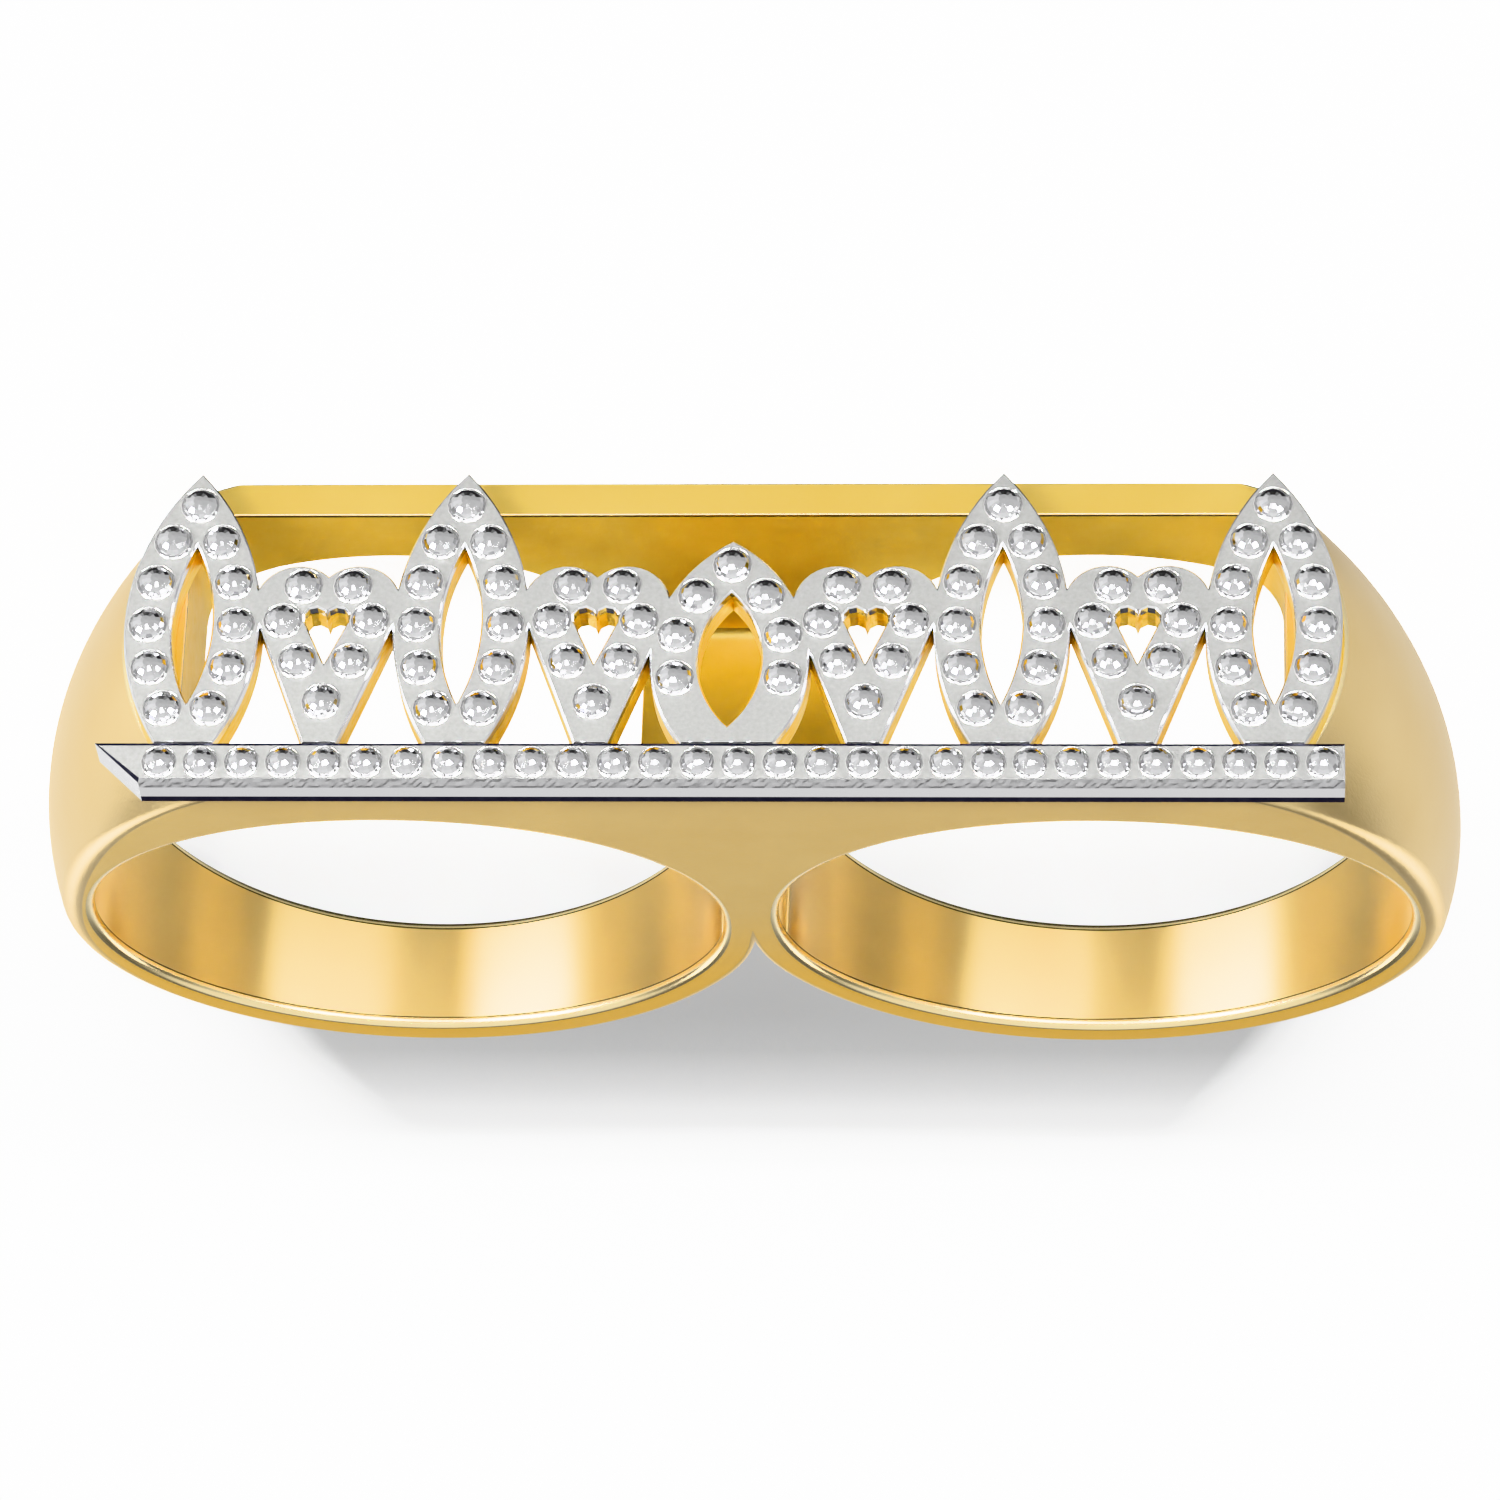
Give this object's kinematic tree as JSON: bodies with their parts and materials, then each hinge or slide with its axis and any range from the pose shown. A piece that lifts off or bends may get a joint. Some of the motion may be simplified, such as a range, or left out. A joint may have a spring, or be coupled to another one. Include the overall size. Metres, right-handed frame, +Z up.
{
  "type": "two-finger name ring",
  "caption": "Gold double finger ring with a windowed top frame, a pierced beaded plate of leaves and hearts, and a beaded bar along its front edge.",
  "frame": {"origin": "middle of the ring's footprint, on the surface that it lies on", "axes": "+X across the hand, -Y out of the plate, +Z up, towards the fingertips, with the ring lying on its back side"},
  "size_m": [0.039, 0.0226, 0.0097],
  "materials": {
    "yellow_gold": "satin outside, mirror-polished in the finger holes",
    "cast_gold": "rough cast",
    "white_metal": "satin with bright-cut beads"
  },
  "bodies": {
    "root": {"ring_body": "yellow_gold", "openwork_core": "cast_gold", "openwork_face": "white_metal", "bead_bar": "white_metal"}
  },
  "joints": []
}
